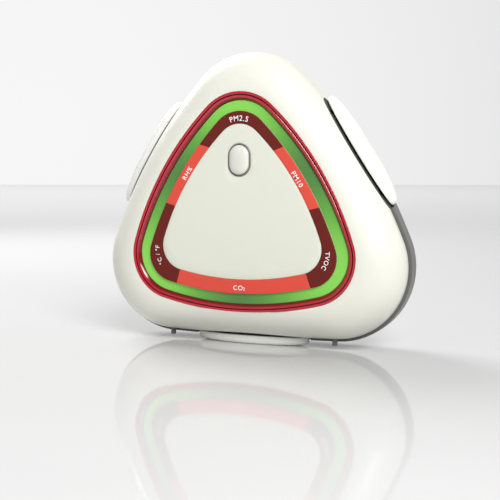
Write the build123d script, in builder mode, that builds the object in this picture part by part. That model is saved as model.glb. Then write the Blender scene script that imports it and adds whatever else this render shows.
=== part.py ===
from build123d import *
from collections import namedtuple
from math import cos, pi, radians, sin, sqrt
import os

# ---------------------------------------------------------------- driving dimensions (mm)
# Every face of the monitor is a rounded triangle, apex up: two lower corner arcs, one top corner
# arc, two long side arcs and one underside arc, all tangent. Heights are from the dial's centre.
Outline = namedtuple("Outline", "spread low_z top_z top_r low_r side_r under_r")

dial = Outline(31.0, -15.7, 31.0, 21.4, 19.7, 129.5, 142.0)     # outer edge of the trim ring
light = Outline(30.5, -15.3, 31.6, 17.2, 16.6, 131.0, 136.0)    # trim ring to light ring
band = Outline(30.3, -15.6, 30.6, 13.8, 12.2, 134.0, 137.0)    # light ring to tiles
panel = Outline(25.6, -12.0, 28.3, 10.9, 10.6, 109.9, 120.8)    # tiles to cream panel

body_spread = 38.0
body_top_z = 39.2
body = Outline(body_spread, -19.8, body_top_z, 30.8, 30.3, 223.7, 1270.0)   # casing at its seam

seam_depth = 14.7        # dial face to casing seam
body_depth = 31.0        # dial face to flat back
wall = 2.0               # casing wall
bulge = 1.3              # rear shell stands proud of the front shell all round
hood_z = 30.0            # the front shell's hood covers the rear above this height
hood_gap = 0.3
ground_gap = 3.6         # underside of the front shell to the table

trim_depth = 3.0
seat_wall = 1.8          # wall round the trim ring's seat
seat_ledge = 1.5         # ledge behind the trim ring
seat_gap = 0.03          # trim ring to its seat
trim_lip = 1.0
trim_step = 0.5
groove_width = 0.7
groove_depth = 0.5
light_front = 1.4
light_depth = 3.0
panel_front = 0.7
tile_front = 0.5
tile_thick = 0.7
tile_gap = 0.05

cover_length = 51.8
cover_width = 12.4
cover_height = 5.1
cover_rim = 1.6
cover_sink = 0.2         # a cover's flat side sits this far inside the casing's side
cover_setback = 0.85     # cover centre behind the seam
vent_gap = 1.05          # air slot round each cover
grille_drop = 1.2
grille_thick = 2.4
grille_pitch = 6.5
grille_slots = 7
grille_slot_length = 8.0
grille_slot_width = 2.4
post_pad = 0.6           # grille left solid round each cover post
filter_thick = 2.0
filter_inset = 0.5
post_radius = 2.0
post_pitch = 26.0
vent_cut = 7.0           # half depth of the cut through the casing at each vent

cap_width = 8.7
cap_height = 12.3
cap_proud = 1.2
cap_z = 24.2
cap_travel = 0.8
cap_clearance = 0.2
bezel_wall = 0.55
stem_radius = 1.6

frame_thick = 1.6
led_board_thick = 1.2
board_depth = 10.4       # dial face to main board
board_thick = 1.6
board_margin = 16.0      # casing outline to main board edge
boss_radius = 3.0
screw_radius = 1.25
screw_clearance = 0.3
screw_head_radius = 2.5
screw_head_height = 2.2
hex_radius = 1.3
hex_depth = 1.2
lug_radius = 2.6
lug_root = 1.2           # depths at which the lugs and bosses start, inside the front wall
lower_boss_root = 6.0
upper_boss_root = 2.4
shell_screw_reach = 6.0  # thread length in the front shell
frame_screw_radius = 1.0
frame_screw_length = 3.6
board_screw_length = 5.1
peg_radius = 1.1
peg_gap = 1.4            # foot pegs end this far above the table
peg_length = 6.0

frame_front = light_front + light_depth
frame_back = frame_front + frame_thick
led_board_back = frame_back + led_board_thick
board_back = board_depth + board_thick
vent_depth = seam_depth + cover_setback


# ---------------------------------------------------------------- outline helpers
def unit(x, z):
    """The direction (x, z) at length one."""
    length = sqrt(x * x + z * z)
    return x / length, z / length


def side_centre(o):
    """Centre of the right side arc: inside tangent to the top and the lower corner arcs."""
    top_gap = o.side_r - o.top_r
    low_gap = o.side_r - o.low_r
    dx, dz = o.spread, o.low_z - o.top_z
    span = sqrt(dx * dx + dz * dz)
    along = (top_gap ** 2 - low_gap ** 2 + span ** 2) / (2 * span)
    across = sqrt(top_gap ** 2 - along ** 2)
    ux, uz = dx / span, dz / span
    return ux * along + uz * across, o.top_z + uz * along - ux * across


def under_centre_z(o):
    """Height of the underside arc's centre."""
    return o.low_z + sqrt((o.under_r - o.low_r) ** 2 - o.spread ** 2)


def underside(o):
    """Height of the outline's lowest point."""
    return under_centre_z(o) - o.under_r


def side_frame(o):
    """Middle point of the right side, its outward normal and its downhill direction, as (x, z)."""
    mx, mz = side_centre(o)
    nx, nz = unit(o.spread / 2 - mx, (o.low_z + o.top_z) / 2 - mz)
    return (mx + o.side_r * nx, mz + o.side_r * nz), (nx, nz), (nz, -nx)


def mix(first, second, share):
    """An outline part of the way from the first to the second."""
    return Outline(*(a + (b - a) * share for a, b in zip(first, second)))


def face_of(o, by=0.0):
    """The outline as a face, grown outwards by the given distance."""
    top_r, low_r, side_r, under_r = (r + by for r in (o.top_r, o.low_r, o.side_r, o.under_r))
    mx, mz = side_centre(o)
    nz = under_centre_z(o)
    ax, az = unit(-mx, o.top_z - mz)
    bx, bz = unit(o.spread - mx, o.low_z - mz)
    cx, cz = unit(o.spread, o.low_z - nz)
    sx, sz = unit(ax + bx, az + bz)
    kx, kz = unit(bx + cx, bz + cz)
    shoulder = (ax * top_r, o.top_z + az * top_r)
    side = (mx + sx * side_r, mz + sz * side_r)
    hip = (o.spread + bx * low_r, o.low_z + bz * low_r)
    corner = (o.spread + kx * low_r, o.low_z + kz * low_r)
    heel = (o.spread + cx * low_r, o.low_z + cz * low_r)
    left = [(-x, z) for x, z in (shoulder, side, hip, corner, heel)]
    with BuildSketch() as face:
        with BuildLine():
            ThreePointArc(left[0], (0, o.top_z + top_r), shoulder)
            ThreePointArc(shoulder, side, hip)
            ThreePointArc(hip, corner, heel)
            ThreePointArc(heel, (0, nz - under_r), left[4])
            ThreePointArc(left[4], left[3], left[2])
            ThreePointArc(left[2], left[1], left[0])
        make_face()
    return face.sketch


# ---------------------------------------------------------------- frame of the part
# Origin on the table under the middle of the monitor, front towards -Y.
dial_y = -(body_depth - cap_proud) / 2
dial_z = ground_gap - underside(body)
far = 200.0              # past every face, for cuts that clear the casing


def station(depth):
    """Front-facing plane at a depth behind the dial face, centred on the dial."""
    return Plane(origin=(0, dial_y + depth, dial_z), x_dir=(1, 0, 0), z_dir=(0, -1, 0))


def side_plane(side, rise=0.0):
    """Plane on the casing's side at the vent: X runs along the side, Z points outwards."""
    (px, pz), (nx, nz), (ux, uz) = side_frame(body)
    origin = (side * (px + rise * nx), dial_y + vent_depth, dial_z + pz + rise * nz)
    return Plane(origin=origin, x_dir=(side * ux, 0, uz), z_dir=(side * nx, 0, nz))


def base_plane(rise=0.0):
    """Plane on the casing's underside at the vent, Z pointing down."""
    origin = (0, dial_y + vent_depth, dial_z + underside(body) - rise)
    return Plane(origin=origin, x_dir=(1, 0, 0), z_dir=(0, 0, -1))


vent_planes = {"left": lambda rise: side_plane(-1, rise),
               "right": lambda rise: side_plane(1, rise),
               "base": base_plane}

# crown of the front shell: a quarter ellipse from the dial's edge to the seam, which starts as a
# narrow flat just inside the dial's edge so that the dial's opening has a crisp rim
crown_steps = [(-0.03, 0.0)]
for angle in (18, 36, 54, 72, 90):
    crown_steps.append((sin(radians(angle)), 1 - cos(radians(angle))))


def crown(inset=0.0):
    """Depth and outline of each crown section, inset by a wall."""
    for share, sunk in crown_steps:
        yield inset + (seam_depth - inset) * sunk, mix(dial, body, share), -inset


# back of the casing: (share of the depth behind the seam, how far the outline has drawn in)
back_profile = [(0.0, 0.0), (0.2, 0.0), (0.45, 0.1), (0.72, 1.5), (0.90, 4.4), (1.0, 8.6)]


def back(proud, inset=0.0):
    """Depth and outline of each section behind the seam, inset by a wall."""
    for share, drawn_in in back_profile:
        depth = seam_depth + (body_depth - inset - seam_depth) * share
        yield depth, body, proud - drawn_in - inset


def lower_boss():
    """Right lower casing screw, in the corner's middle."""
    return body.spread + body.low_r - wall - boss_radius * 2, body.low_z


def upper_boss():
    """Right upper casing screw, just inside the vent's filter."""
    (px, pz), (nx, nz), _ = side_frame(body)
    inside = grille_drop + grille_thick + filter_thick + boss_radius + 2.3
    return px - nx * inside, pz - nz * inside


boss_points = [(side * x, z) for x, z in (lower_boss(), upper_boss()) for side in (-1, 1)]

lug_reach = 3.4          # lug centres outside the dial's edge
lug_angle = radians(-32)
lug_points = [(0, dial.top_z + dial.top_r + lug_reach)]
for side in (-1, 1):
    lug_points.append((side * (dial.spread + (dial.low_r + lug_reach) * cos(lug_angle)),
                       dial.low_z + (dial.low_r + lug_reach) * sin(lug_angle)))

pillar_radius = 2.2
pillar_points = [(0, panel.top_z + panel.top_r - 2.7)]
for side in (-1, 1):
    pillar_points.append((side * (panel.spread + panel.low_r - 1.7), panel.low_z - 4.0))

peg_depth = seam_depth - 1.5
peg_points = [(-body.spread, dial_y + peg_depth), (body.spread, dial_y + peg_depth)]


# ---------------------------------------------------------------- front shell
with BuildPart() as front_shell:
    for depth, section, grow in crown():
        with BuildSketch(station(depth)):
            add(face_of(section, grow))
    loft()
    for depth, section, grow in back(0.0):
        with BuildSketch(station(depth)):
            add(face_of(section, grow))
    loft()
    for depth, section, grow in crown(wall):
        with BuildSketch(station(depth)):
            add(face_of(section, grow))
    loft(mode=Mode.SUBTRACT)
    for depth, section, grow in back(0.0, wall):
        with BuildSketch(station(depth)):
            add(face_of(section, grow))
    loft(mode=Mode.SUBTRACT)
    # everything behind the seam and below the hood belongs to the rear shell
    with BuildSketch(station(seam_depth)):
        with Locations((0, hood_z + hood_gap - far / 2)):
            Rectangle(far, far)
    extrude(amount=-far, mode=Mode.SUBTRACT)
    # dial seat: a wall round the trim ring, with a ledge behind it
    with BuildSketch(station(-cap_proud)):
        add(face_of(dial, seat_gap))
    extrude(amount=-cap_proud - frame_back, mode=Mode.SUBTRACT)
    with BuildSketch(station(trim_step)):
        add(face_of(dial, seat_wall))
        add(face_of(dial, seat_gap), mode=Mode.SUBTRACT)
    extrude(amount=trim_step - frame_front)
    with BuildSketch(station(trim_depth)):
        add(face_of(dial, seat_wall))
        add(face_of(dial, -seat_ledge), mode=Mode.SUBTRACT)
    extrude(amount=trim_depth - frame_front)
    # lugs for the inner frame and bosses for the rear shell
    with BuildSketch(station(lug_root)):
        with Locations(*lug_points):
            Circle(lug_radius)
    extrude(amount=lug_root - frame_front)
    for root, points in ((lower_boss_root, boss_points[:2]), (upper_boss_root, boss_points[2:])):
        with BuildSketch(station(root)):
            with Locations(*points):
                Circle(boss_radius)
        extrude(amount=root - seam_depth)
    with BuildSketch(station(frame_front)):
        with Locations(*lug_points):
            Circle(frame_screw_radius)
    extrude(amount=frame_screw_length - frame_thick + screw_clearance, mode=Mode.SUBTRACT)
    with BuildSketch(station(seam_depth)):
        with Locations(*boss_points):
            Circle(screw_radius)
    extrude(amount=shell_screw_reach + screw_clearance, mode=Mode.SUBTRACT)
    for vent in vent_planes.values():
        with BuildSketch(vent(0.0)):
            Ellipse(cover_length / 2 + vent_gap, cover_width / 2 + vent_gap)
        extrude(amount=vent_cut, both=True, mode=Mode.SUBTRACT)
    with Locations(*[(x, y, peg_gap + peg_length / 2) for x, y in peg_points]):
        Cylinder(peg_radius, peg_length, mode=Mode.SUBTRACT)
front_shell.part.label = "front_shell"

# ---------------------------------------------------------------- rear shell
sensor_z = 10.0
slot_pitch = 4.0
slot_count = 6
slot_length = 34.0
slot_height = 1.8
port_width = 9.0
port_height = 3.2
port_length = 7.4
port_z = -35.0
port_clearance = 0.3
port_back = body_depth - 0.5
power_board_thick = 1.2
power_board_width = 20.0
power_board_front = 20.8
shelf_thick = 1.6
head_seat_depth = 26.0

with BuildPart() as rear_shell:
    for depth, section, grow in back(bulge):
        with BuildSketch(station(depth)):
            add(face_of(section, grow))
    loft()
    for depth, section, grow in back(bulge, wall):
        with BuildSketch(station(depth)):
            add(face_of(section, grow))
    loft(mode=Mode.SUBTRACT)
    with BuildSketch(station(seam_depth - wall)):
        with Locations((0, hood_z + far / 2)):
            Rectangle(far, far)
    extrude(amount=-far, mode=Mode.SUBTRACT)
    with BuildSketch(station(seam_depth)):
        with Locations(*boss_points):
            Circle(boss_radius)
    extrude(amount=seam_depth - body_depth + wall / 2)
    with BuildSketch(station(seam_depth)):
        with Locations(*boss_points):
            Circle(screw_radius + screw_clearance)
    extrude(amount=-far, mode=Mode.SUBTRACT)
    with BuildSketch(station(head_seat_depth)):
        with Locations(*boss_points):
            Circle(screw_head_radius + screw_clearance)
    extrude(amount=-far, mode=Mode.SUBTRACT)
    # exhaust slots behind the particle sensor
    with BuildSketch(station(body_depth - wall * 2)):
        with Locations((0, sensor_z)):
            with GridLocations(0, slot_pitch, 1, slot_count):
                SlotOverall(slot_length, slot_height)
    extrude(amount=-far, mode=Mode.SUBTRACT)
    # shelf under the power board, and the power inlet's opening
    shelf_top = port_z - port_height / 2 - power_board_thick
    with BuildSketch(station(power_board_front)):
        with Locations((0, shelf_top - shelf_thick / 2)):
            Rectangle(power_board_width + 2 * shelf_thick, shelf_thick)
    extrude(amount=power_board_front - body_depth + wall / 2)
    with BuildSketch(station(body_depth - wall * 2)):
        with Locations((0, port_z)):
            SlotOverall(port_width + 2 * port_clearance, port_height + 2 * port_clearance)
    extrude(amount=-far, mode=Mode.SUBTRACT)
    for vent in vent_planes.values():
        with BuildSketch(vent(0.0)):
            Ellipse(cover_length / 2 + vent_gap, cover_width / 2 + vent_gap)
        extrude(amount=vent_cut, both=True, mode=Mode.SUBTRACT)
    with Locations(*[(x, y, peg_gap + peg_length / 2) for x, y in peg_points]):
        Cylinder(peg_radius, peg_length, mode=Mode.SUBTRACT)
rear_shell.part.label = "rear_shell"

# ---------------------------------------------------------------- dial
with BuildPart() as trim_ring:
    with BuildSketch(station(trim_step)):
        add(face_of(dial))
        add(face_of(light), mode=Mode.SUBTRACT)
    extrude(amount=trim_step - trim_depth)
    with BuildSketch(station(0)):
        add(face_of(dial))
        add(face_of(dial, -trim_lip), mode=Mode.SUBTRACT)
    extrude(amount=-trim_step)
    with BuildSketch(station(trim_step)):
        add(face_of(dial, -trim_lip))
        add(face_of(dial, -trim_lip - groove_width), mode=Mode.SUBTRACT)
    extrude(amount=-groove_depth, mode=Mode.SUBTRACT)
trim_ring.part.label = "trim_ring"

with BuildPart() as light_ring:
    with BuildSketch(station(light_front)):
        add(face_of(light, -tile_gap))
        add(face_of(band, tile_gap), mode=Mode.SUBTRACT)
    extrude(amount=-light_depth)
light_ring.part.label = "light_ring"

bezel_inner = (cap_width + 2 * cap_clearance, cap_height + 2 * cap_clearance)
bezel_outer = (bezel_inner[0] + 2 * bezel_wall, bezel_inner[1] + 2 * bezel_wall)
bezel_back = 2.2
bezel_collar = 1.2       # collar of the panel round the bezel
flange_thick = 0.8
flange_gap = 0.1
panel_skin = 1.9
panel_rim = 1.0


def pill(width, height):
    """An upright slot at the mode button."""
    with BuildSketch() as shape:
        with Locations((0, cap_z)):
            SlotOverall(height, width, rotation=90)
    return shape.sketch


with BuildPart() as front_panel:
    with BuildSketch(station(tile_front + tile_thick)):
        add(face_of(band))
    extrude(amount=tile_front + tile_thick - frame_front)
    with BuildSketch(station(panel_front)):
        add(face_of(panel))
    extrude(amount=panel_front - tile_front - tile_thick)
    with BuildSketch(station(panel_front + panel_skin)):
        add(face_of(panel, -panel_rim))
    extrude(amount=-far, mode=Mode.SUBTRACT)
    with BuildSketch(station(panel_front + panel_skin / 2)):
        add(pill(bezel_outer[0] + 2 * bezel_collar, bezel_outer[1] + 2 * bezel_collar))
    extrude(amount=panel_front + panel_skin / 2 - frame_front)
    with BuildSketch(station(0)):
        add(pill(*bezel_outer))
    extrude(amount=-far, mode=Mode.SUBTRACT)
front_panel.part.label = "front_panel"

# the band of measurement tiles is cut by six lines: a point on each and its angle
cut_reach = 12.0
cut_lines = [(17.0, 28.4, 20.5), (32.8, 4.3, 13.5), (30.6, -24.9, -70.5),
             (-28.6, -24.9, 254.0), (-32.4, 5.6, 163.0), (-15.7, 30.15, 162.7)]
tile_names = ["pm10", "tvoc", "co2", "temperature", "humidity", "pm25"]
tile_far = {"pm25": (0, 90), "tvoc": (80, -60), "temperature": (-80, -60)}

label_tiles = {}
for index, tile_name in enumerate(tile_names):
    ends = []
    for px, pz, angle in (cut_lines[index], cut_lines[(index + 1) % 6]):
        dx, dz = cos(radians(angle)) * cut_reach, sin(radians(angle)) * cut_reach
        ends.append(((px - dx, pz - dz), (px + dx, pz + dz)))
    corners = [ends[0][0], ends[0][1]]
    if tile_name in tile_far:
        corners.append(tile_far[tile_name])
    corners += [ends[1][1], ends[1][0]]
    with BuildPart() as label_tile:
        with BuildSketch(station(tile_front)):
            add(face_of(band))
            add(face_of(panel, tile_gap), mode=Mode.SUBTRACT)
            with BuildSketch(mode=Mode.INTERSECT):
                Polygon(*corners, align=None)
        extrude(amount=-tile_thick)
    label_tile.part.label = "label_tile_" + tile_name
    label_tiles[label_tile.part.label] = label_tile.part

# ---------------------------------------------------------------- mode button
switch_size = 6.0
switch_height = 2.4
switch_front = board_depth - switch_height
plunger_radius = 1.5
plunger_front = switch_front - cap_travel - 0.3
plunger_back = board_depth - cap_travel - 0.2
plunger_clearance = 0.1

with BuildPart() as button_bezel:
    with BuildSketch(station(tile_front)):
        add(pill(*bezel_outer))
        add(pill(*bezel_inner), mode=Mode.SUBTRACT)
    extrude(amount=tile_front - bezel_back)
button_bezel.part.label = "button_bezel"

with BuildPart() as mode_button:
    flange_front = bezel_back + flange_gap
    with BuildSketch(station(-cap_proud)):
        add(pill(cap_width, cap_height))
    extrude(amount=-cap_proud - flange_front)
    fillet(mode_button.edges().group_by(Axis.Y)[0], radius=cap_proud)
    with BuildSketch(station(flange_front)):
        add(pill(bezel_outer[0] - 2 * cap_clearance, bezel_outer[1] - 2 * cap_clearance))
    extrude(amount=-flange_thick)
    with BuildSketch(station(flange_front)):
        with Locations((0, cap_z)):
            Circle(stem_radius)
    extrude(amount=flange_front - plunger_front)
mode_button.part.label = "mode_button"

with BuildPart() as switch_plunger:
    with BuildSketch(station(plunger_front)):
        with Locations((0, cap_z)):
            Circle(plunger_radius)
    extrude(amount=plunger_front - plunger_back)
switch_plunger.part.label = "switch_plunger"

with BuildPart() as button_switch:
    with BuildSketch(station(switch_front)):
        with Locations((0, cap_z)):
            Rectangle(switch_size, switch_size)
            Circle(plunger_radius + plunger_clearance, mode=Mode.SUBTRACT)
    extrude(amount=-switch_height)
button_switch.part.label = "button_switch"

# ---------------------------------------------------------------- vents and base
dome_profile = [(0.0, 1.0), (0.25, 0.975), (0.5, 0.9), (0.75, 0.76), (1.0, 0.5)]
base_profile = [(0.0, 1.0), (0.35, 0.975), (0.7, 0.92), (1.0, 0.80)]
covers = {}
grilles = {}
filters = {}
for vent_name, vent in vent_planes.items():
    height = cover_height if vent_name != "base" else ground_gap + cover_sink
    profile = dome_profile if vent_name != "base" else base_profile
    with BuildPart() as cover:
        with BuildSketch(vent(-cover_sink)):
            Ellipse(cover_length / 2, cover_width / 2)
        extrude(amount=cover_rim)
        for share, size in profile:
            with BuildSketch(vent(-cover_sink + cover_rim + (height - cover_rim) * share)):
                Ellipse(cover_length / 2 * (1 - (1 - size) * 0.4), cover_width / 2 * size)
        loft()
        with BuildSketch(vent(-grille_drop)):
            with GridLocations(post_pitch, 0, 2, 1):
                Circle(post_radius)
        extrude(amount=grille_drop - cover_sink)
    cover.part.label = "base_cover" if vent_name == "base" else "vent_cover_" + vent_name
    covers[cover.part.label] = cover.part

    with BuildPart() as grille:
        with BuildSketch(vent(-grille_drop - grille_thick)):
            Ellipse(cover_length / 2 + vent_gap, cover_width / 2 + vent_gap)
            with GridLocations(grille_pitch, 0, grille_slots, 1):
                SlotOverall(grille_slot_length, grille_slot_width, rotation=90, mode=Mode.SUBTRACT)
        extrude(amount=grille_thick)
        with BuildSketch(vent(-grille_drop - grille_thick)):
            with GridLocations(post_pitch, 0, 2, 1):
                Circle(post_radius + post_pad)
        extrude(amount=grille_thick)
    grille.part.label = "vent_grille_" + vent_name
    grilles[grille.part.label] = grille.part

    with BuildPart() as filter_pad:
        with BuildSketch(vent(-grille_drop - grille_thick - filter_thick)):
            Ellipse(cover_length / 2 - filter_inset, cover_width / 2 - filter_inset)
        extrude(amount=filter_thick)
    filter_pad.part.label = "dust_filter_" + vent_name
    filters[filter_pad.part.label] = filter_pad.part

with BuildPart() as foot_pegs:
    with Locations(*[(x, y, peg_gap + peg_length / 2) for x, y in peg_points]):
        Cylinder(peg_radius, peg_length)
foot_pegs.part.label = "foot_pegs"

# ---------------------------------------------------------------- inner frame and light board
window_margin = 0.8
lug_pad = 0.6
panel_support = 4.0      # width of the frame behind the panel's edge
bridge_width = 3.0
boss_clearance = 0.4
pillar_clearance = 0.3
board_edge = 1.5         # light board inside the dial's edge
with BuildPart() as inner_frame:
    with BuildSketch(station(frame_front)):
        add(face_of(dial, seat_wall))
        with Locations(*lug_points):
            Circle(lug_radius + lug_pad)
        add(face_of(light, -window_margin), mode=Mode.SUBTRACT)
    extrude(amount=-frame_thick)
    with BuildSketch(station(frame_front)):
        add(face_of(band, window_margin))
        add(face_of(panel, -panel_support), mode=Mode.SUBTRACT)
    extrude(amount=-frame_thick)
    # bridges across the light ring's window, at the tile joints
    with BuildSketch(station(frame_front)):
        for px, pz, angle in cut_lines:
            with Locations(Location((px, pz, 0), (0, 0, angle))):
                with Locations((cut_reach / 2, 0)):
                    Rectangle(cut_reach, bridge_width)
    extrude(amount=-frame_thick)
    with BuildSketch(station(frame_front)):
        with Locations(*pillar_points):
            Circle(pillar_radius)
    extrude(amount=frame_front - board_depth)
    with BuildSketch(station(trim_depth)):
        with Locations(*boss_points):
            Circle(boss_radius + boss_clearance)
    extrude(amount=-far, mode=Mode.SUBTRACT)
    with BuildSketch(station(frame_front)):
        with Locations(*lug_points):
            Circle(frame_screw_radius)
    extrude(amount=-frame_thick, mode=Mode.SUBTRACT)
    with BuildSketch(station(board_depth)):
        with Locations(*pillar_points):
            Circle(frame_screw_radius)
    extrude(amount=board_screw_length - board_thick + screw_clearance, mode=Mode.SUBTRACT)
inner_frame.part.label = "inner_frame"

with BuildPart() as led_board:
    with BuildSketch(station(frame_back)):
        add(face_of(dial, -board_edge))
        add(face_of(band, -board_edge), mode=Mode.SUBTRACT)
        with Locations(*boss_points):
            Circle(boss_radius + boss_clearance, mode=Mode.SUBTRACT)
        with Locations(*pillar_points):
            Circle(pillar_radius + pillar_clearance, mode=Mode.SUBTRACT)
    extrude(amount=-led_board_thick)
led_board.part.label = "led_board"

led_width = 2.0
led_height = 1.1
middle = mix(light, band, 0.5)
side_leds = [-8.0, -2.4, 3.2, 8.8]           # along each side, downhill from its middle
underside_leds = [-16.0, -8.0, 0.0, 8.0, 16.0]
corner_leds = [-20.0, 10.0]                  # degrees round each lower corner
(side_x, side_z), (normal_x, normal_z), (down_x, down_z) = side_frame(middle)
led_points = [(0, middle.top_z + middle.top_r)]
for shift in underside_leds:
    sag = middle.under_r - sqrt(middle.under_r ** 2 - shift ** 2)
    led_points.append((shift, underside(middle) + sag))
for side in (-1, 1):
    for shift in side_leds:
        sag = middle.side_r - sqrt(middle.side_r ** 2 - shift ** 2)
        led_points.append((side * (side_x + down_x * shift - normal_x * sag),
                           side_z + down_z * shift - normal_z * sag))
    for turn in corner_leds:
        led_points.append((side * (middle.spread + middle.low_r * cos(radians(turn))),
                           middle.low_z + middle.low_r * sin(radians(turn))))

with BuildPart() as ring_leds:
    with BuildSketch(station(frame_back - led_height)):
        with Locations(*led_points):
            Rectangle(led_width, led_width)
    extrude(amount=-led_height)
ring_leds.part.label = "ring_leds"

# ---------------------------------------------------------------- main board and what it carries
with BuildPart() as main_board:
    with BuildSketch(station(board_depth)):
        add(face_of(body, -board_margin))
        with Locations(*pillar_points):
            Circle(frame_screw_radius, mode=Mode.SUBTRACT)
    extrude(amount=-board_thick)
main_board.part.label = "main_board"


def block(name, x, z, width, height, front, rear, corner=0.1):
    """A rectangular component between two depths, its corners rounded by a share of its height."""
    with BuildPart() as component:
        with BuildSketch(station(front)):
            with Locations((x, z)):
                RectangleRounded(width, height, min(width, height) * corner)
        extrude(amount=front - rear)
    component.part.label = name
    return component.part


ribbon_width = 6.0
ribbon_thick = 0.3
ribbon_z = underside(band) + 0.3
radio_height = 2.4
buzzer_radius = 4.5
buzzer_height = 3.0
buzzer_hole = 0.8
co2_height = 7.0
battery_width = 54.0
battery_height = 20.0
battery_thick = 7.0
battery_z = -27.0
cradle_wall = 1.6
fit_gap = 0.2

components = [
    block("panel_ribbon", -12.0, ribbon_z, ribbon_width, ribbon_thick, led_board_back, board_depth),
    block("wireless_module", 0.0, -8.0, 18.0, 13.0, board_depth - radio_height, board_depth),
    block("co2_sensor", -31.0, 3.0, 15.0, 21.0, board_back, board_back + co2_height),
    block("tvoc_sensor", 29.0, 9.0, 3.0, 3.0, board_back, board_back + 1.0),
    block("humidity_sensor", 29.0, -6.0, 2.5, 2.5, board_back, board_back + 0.9),
    block("battery", 0.0, battery_z, battery_width, battery_height,
          board_back, board_back + battery_thick),
    block("usb_port", 0.0, port_z, port_width, port_height, port_back - port_length, port_back, 0.48),
    block("power_board", 0.0, shelf_top + power_board_thick / 2, power_board_width, power_board_thick,
          power_board_front, body_depth - wall),
]

with BuildPart() as buzzer:
    with BuildSketch(station(board_depth - buzzer_height)):
        with Locations((-19.0, -12.0)):
            Circle(buzzer_radius)
            Circle(buzzer_hole, mode=Mode.SUBTRACT)
    extrude(amount=-buzzer_height)
buzzer.part.label = "buzzer"

cradle_width = battery_width + 2 * (fit_gap + cradle_wall)
cradle_height = battery_height + 2 * (fit_gap + cradle_wall)
cradle_lip = 4.0         # how far the cradle's rim reaches over the battery
cradle_rim = 1.0

with BuildPart() as battery_cradle:
    with BuildSketch(station(board_back)):
        with Locations((0, battery_z)):
            Rectangle(cradle_width, cradle_height)
            Rectangle(battery_width + 2 * fit_gap, battery_height + 2 * fit_gap, mode=Mode.SUBTRACT)
    extrude(amount=-battery_thick)
    with BuildSketch(station(board_back + battery_thick)):
        with Locations((0, battery_z)):
            Rectangle(cradle_width, cradle_height)
            Rectangle(battery_width - 2 * cradle_lip, battery_height - 2 * cradle_lip, mode=Mode.SUBTRACT)
    extrude(amount=-cradle_rim)
battery_cradle.part.label = "battery_cradle"

# ---------------------------------------------------------------- particle sensor
case_width = 40.0
case_height = 34.0
case_depth = 12.0
case_wall = 1.0
fan_x = 8.0
fan_radius = 9.0
fan_thick = 4.0
fan_clearance = 0.6
fan_hub_radius = 3.2
blade_width = 1.0
blade_count = 7
guard_width = 1.2
axle_radius = 1.0
axle_boss = 1.5
axle_clearance = 0.06
case_back = board_back + case_depth
fan_front = board_back + 5.0

with BuildPart() as particle_case:
    with BuildSketch(station(board_back)):
        with Locations((0, sensor_z)):
            Rectangle(case_width, case_height)
    extrude(amount=case_wall - case_depth)
    with BuildSketch(station(board_back + case_wall)):
        with Locations((0, sensor_z)):
            Rectangle(case_width - 2 * case_wall, case_height - 2 * case_wall)
    extrude(amount=-case_depth, mode=Mode.SUBTRACT)
    with BuildSketch(station(board_back)):
        with Locations((fan_x, sensor_z)):
            Circle(axle_radius + axle_boss)
    extrude(amount=board_back - fan_front + fan_clearance)
    with BuildSketch(station(board_back)):
        with Locations((fan_x, sensor_z)):
            Circle(axle_radius)
    extrude(amount=-case_depth, mode=Mode.SUBTRACT)
particle_case.part.label = "particle_case"

with BuildPart() as particle_lid:
    with BuildSketch(station(case_back - case_wall)):
        with Locations((0, sensor_z)):
            Rectangle(case_width, case_height)
        with Locations((fan_x, sensor_z)):
            Circle(fan_radius - case_wall, mode=Mode.SUBTRACT)
            Circle(axle_radius + axle_boss)
            for turn in range(3):
                with Locations(Location((0, 0, 0), (0, 0, turn * 60))):
                    Rectangle(fan_radius * 2, guard_width)
    extrude(amount=-case_wall)
particle_lid.part.label = "particle_lid"

with BuildPart() as fan_axle:
    with BuildSketch(station(board_back)):
        with Locations((fan_x, sensor_z)):
            Circle(axle_radius)
    extrude(amount=case_wall - case_depth)
fan_axle.part.label = "fan_axle"

with BuildPart() as fan_rotor:
    with BuildSketch(station(fan_front)):
        with Locations((fan_x, sensor_z)):
            Circle(fan_hub_radius)
            for blade in range(blade_count):
                with Locations(Location((0, 0, 0), (0, 0, blade * 360 / blade_count))):
                    with Locations((fan_radius / 2, 0)):
                        Rectangle(fan_radius, blade_width)
            Circle(axle_radius + axle_clearance, mode=Mode.SUBTRACT)
    extrude(amount=-fan_thick)
fan_rotor.part.label = "fan_rotor"

components.append(block("laser_module", -12.0, sensor_z + 6.0, 8.0, 8.0,
                        board_back + case_wall, board_back + case_wall + 5.0))

# ---------------------------------------------------------------- screws
with BuildPart() as shell_screws:
    with BuildSketch(station(head_seat_depth)):
        with Locations(*boss_points):
            Circle(screw_head_radius)
    extrude(amount=-screw_head_height)
    with BuildSketch(station(head_seat_depth)):
        with Locations(*boss_points):
            Circle(screw_radius)
    extrude(amount=head_seat_depth - seam_depth + shell_screw_reach)
    with BuildSketch(station(head_seat_depth + screw_head_height)):
        with Locations(*boss_points):
            RegularPolygon(hex_radius, 6)
    extrude(amount=hex_depth, mode=Mode.SUBTRACT)
shell_screws.part.label = "shell_screws"

small_head_radius = 1.9
small_head_height = 1.3


def small_screws(name, points, seat, length):
    """Pan-head screws with their heads against a depth and their shanks running forward."""
    with BuildPart() as screws:
        with BuildSketch(station(seat)):
            with Locations(*points):
                Circle(small_head_radius)
        extrude(amount=-small_head_height)
        with BuildSketch(station(seat)):
            with Locations(*points):
                Circle(frame_screw_radius)
        extrude(amount=length)
    screws.part.label = name
    return screws.part


components.append(small_screws("frame_screws", lug_points, frame_back, frame_screw_length))
components.append(small_screws("board_screws", pillar_points, board_back, board_screw_length))

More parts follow.
